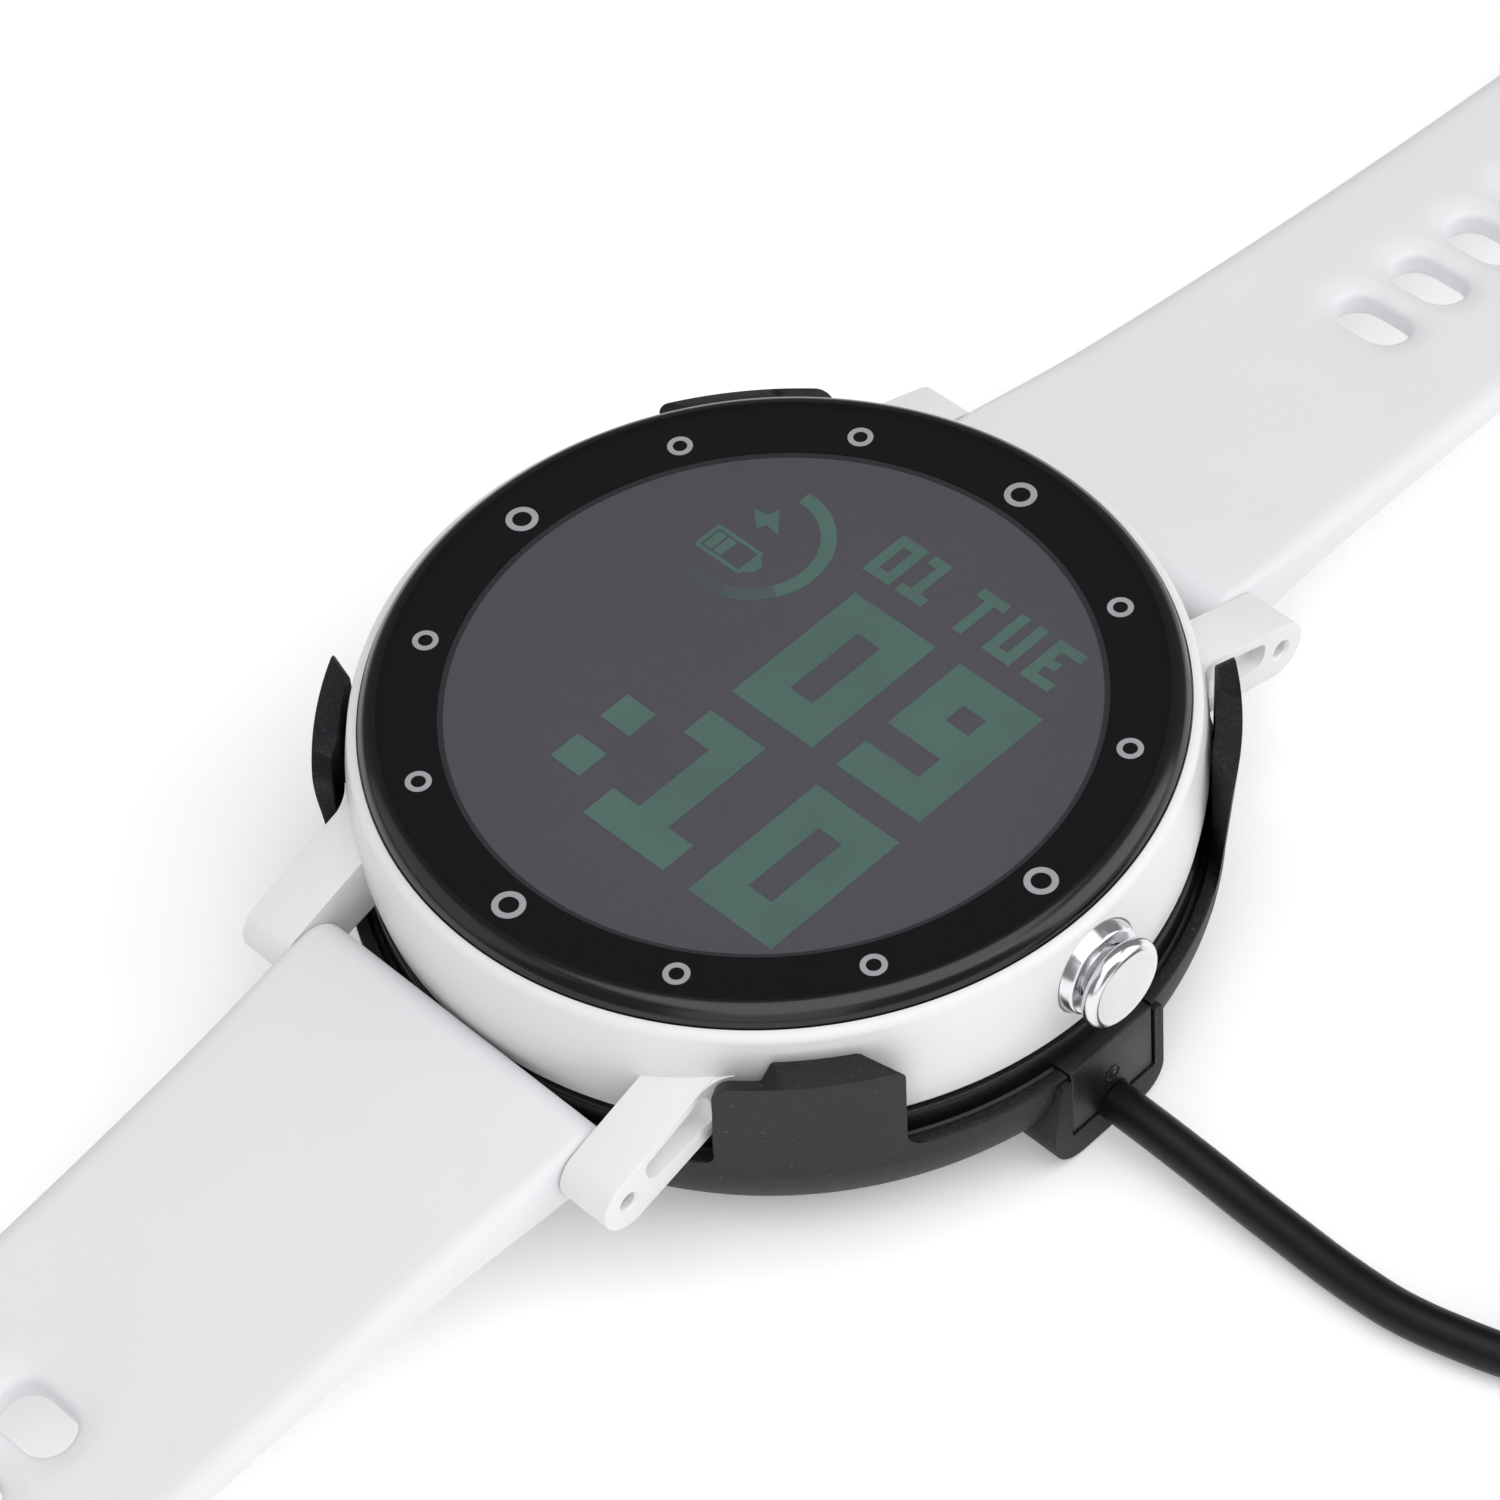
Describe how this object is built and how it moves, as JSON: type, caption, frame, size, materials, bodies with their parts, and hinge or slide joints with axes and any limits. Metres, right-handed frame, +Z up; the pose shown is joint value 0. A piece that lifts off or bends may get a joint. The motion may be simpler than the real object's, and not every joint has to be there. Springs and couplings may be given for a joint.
{
  "type": "golf gps watch",
  "caption": "Round wrist watch with a digital dial, side pushbutton and silicone strap, seated in a clip-on charging cradle with a USB cable.",
  "frame": {"origin": "centre of the cradle's flat base, on the watch case's own axis", "axes": "+X to 3 o'clock, where the button and the cable are; +Y to 12 o'clock; +Z up out of the lens"},
  "size_m": [0.1066, 0.2562, 0.0164],
  "materials": {
    "case_white": "satin white polymer",
    "lens_glass": "polished glass with a black printed border",
    "black_foam": "matt",
    "display": "dark reflective liquid crystal panel",
    "diffuser": "milky",
    "inner_plastic": "moulded",
    "circuit_board": "solder resist",
    "tinned_steel": "tinned sheet",
    "antenna_ceramic": "fired ceramic patch",
    "battery_foil": "foil pouch",
    "switch_body": "moulded",
    "back_plastic": "fine grain",
    "gold_plate": "gold plated",
    "screw_steel": "zinc plated",
    "button_chrome": "polished with a satin face",
    "spring_steel": "drawn wire",
    "bar_steel": "bright",
    "strap_silicone": "soft matt white silicone",
    "buckle_steel": "brushed",
    "cradle_black": "fine spark texture",
    "cable_black": "smooth satin jacket",
    "plug_steel": "nickel plated",
    "plug_white": "moulded"
  },
  "bodies": {
    "cradle": {"cradle_shell": "cradle_black", "cradle_insert": "cradle_black", "cradle_pcb": "circuit_board", "cradle_screws": "screw_steel", "pogo_barrels": "gold_plate", "cable_grommet": "cable_black", "charging_cable": "cable_black", "cable_coil": "cable_black", "plug_overmould": "cable_black", "plug_shell": "plug_steel", "plug_insulator": "plug_white", "plug_contacts": "gold_plate"},
    "watch": {"case_body": "case_white", "lens": "lens_glass", "lens_gasket": "black_foam", "display_panel": "display", "backlight": "diffuser", "display_frame": "inner_plastic", "main_pcb": "circuit_board", "rf_shield": "tinned_steel", "gps_antenna": "antenna_ceramic", "battery": "battery_foil", "vibration_motor": "tinned_steel", "side_switch": "switch_body", "back_cover": "back_plastic", "back_gasket": "black_foam", "charge_contacts": "gold_plate", "back_screws": "screw_steel", "button_collar": "button_chrome", "button_seal": "black_foam", "button_spring": "spring_steel"},
    "button": {"button_pusher": "button_chrome", "button_clip": "screw_steel"},
    "strap_upper": {"strap_12": "strap_silicone", "spring_bar_12": "bar_steel", "bar_spring_12": "spring_steel", "buckle_bar": "bar_steel", "keeper_fixed": "strap_silicone"},
    "strap_lower": {"strap_6": "strap_silicone", "spring_bar_6": "bar_steel", "bar_spring_6": "spring_steel"},
    "buckle": {"buckle_frame": "buckle_steel"},
    "tongue": {"buckle_tongue": "buckle_steel"},
    "keeper": {"keeper_free": "strap_silicone"},
    "tip_12_left": {"bar_tip_12_left": "bar_steel"},
    "tip_12_right": {"bar_tip_12_right": "bar_steel"},
    "tip_6_left": {"bar_tip_6_left": "bar_steel"},
    "tip_6_right": {"bar_tip_6_right": "bar_steel"},
    "pogo_1": {"pogo_pin_1": "gold_plate"},
    "pogo_2": {"pogo_pin_2": "gold_plate"},
    "pogo_3": {"pogo_pin_3": "gold_plate"},
    "pogo_4": {"pogo_pin_4": "gold_plate"}
  },
  "joints": [
    {"name": "watch_lift", "type": "slide", "parent": "cradle", "child": "watch", "axis": [0, 0, 1], "range_m": [0, 0.02]},
    {"name": "pogo_press_1", "type": "slide", "parent": "cradle", "child": "pogo_1", "axis": [0, 0, -1], "range_m": [0, 0.0005], "stiffness_N_per_m": 300, "springref_m": -0.0005},
    {"name": "pogo_press_2", "type": "slide", "parent": "cradle", "child": "pogo_2", "axis": [0, 0, -1], "range_m": [0, 0.0005], "stiffness_N_per_m": 300, "springref_m": -0.0005},
    {"name": "pogo_press_3", "type": "slide", "parent": "cradle", "child": "pogo_3", "axis": [0, 0, -1], "range_m": [0, 0.0005], "stiffness_N_per_m": 300, "springref_m": -0.0005},
    {"name": "pogo_press_4", "type": "slide", "parent": "cradle", "child": "pogo_4", "axis": [0, 0, -1], "range_m": [0, 0.0005], "stiffness_N_per_m": 300, "springref_m": -0.0005},
    {"name": "button_press", "type": "slide", "parent": "watch", "child": "button", "axis": [-1, 0, 0], "range_m": [0, 0.0005], "stiffness_N_per_m": 1500, "springref_m": -0.0003, "deforming": ["button_spring"]},
    {"name": "strap_12_hinge", "type": "hinge", "parent": "watch", "child": "strap_upper", "pos_m": [0, 0.0241, 0.0088], "axis": [1, 0, 0], "range_deg": [-45, 20]},
    {"name": "strap_6_hinge", "type": "hinge", "parent": "watch", "child": "strap_lower", "pos_m": [0, -0.0241, 0.0088], "axis": [1, 0, 0], "range_deg": [-20, 45]},
    {"name": "bar_12_left_tip_press", "type": "slide", "parent": "strap_upper", "child": "tip_12_left", "axis": [1, 0, 0], "range_m": [0, 0.0013], "stiffness_N_per_m": 600, "springref_m": -0.001, "deforming": ["bar_spring_12"]},
    {"name": "bar_12_right_tip_press", "type": "slide", "parent": "strap_upper", "child": "tip_12_right", "axis": [-1, 0, 0], "range_m": [0, 0.0013], "stiffness_N_per_m": 600, "springref_m": -0.001, "deforming": ["bar_spring_12"]},
    {"name": "bar_6_left_tip_press", "type": "slide", "parent": "strap_lower", "child": "tip_6_left", "axis": [1, 0, 0], "range_m": [0, 0.0013], "stiffness_N_per_m": 600, "springref_m": -0.001, "deforming": ["bar_spring_6"]},
    {"name": "bar_6_right_tip_press", "type": "slide", "parent": "strap_lower", "child": "tip_6_right", "axis": [-1, 0, 0], "range_m": [0, 0.0013], "stiffness_N_per_m": 600, "springref_m": -0.001, "deforming": ["bar_spring_6"]},
    {"name": "buckle_hinge", "type": "hinge", "parent": "strap_upper", "child": "buckle", "pos_m": [0, 0.104, 0.002], "axis": [1, 0, 0], "range_deg": [-60, 45]},
    {"name": "tongue_hinge", "type": "hinge", "parent": "buckle", "child": "tongue", "pos_m": [0, 0.104, 0.002], "axis": [1, 0, 0], "range_deg": [0, 75]},
    {"name": "keeper_slide", "type": "slide", "parent": "strap_upper", "child": "keeper", "axis": [0, 0.9985, -0.0539], "range_m": [-0.003, 0.004]}
  ]
}
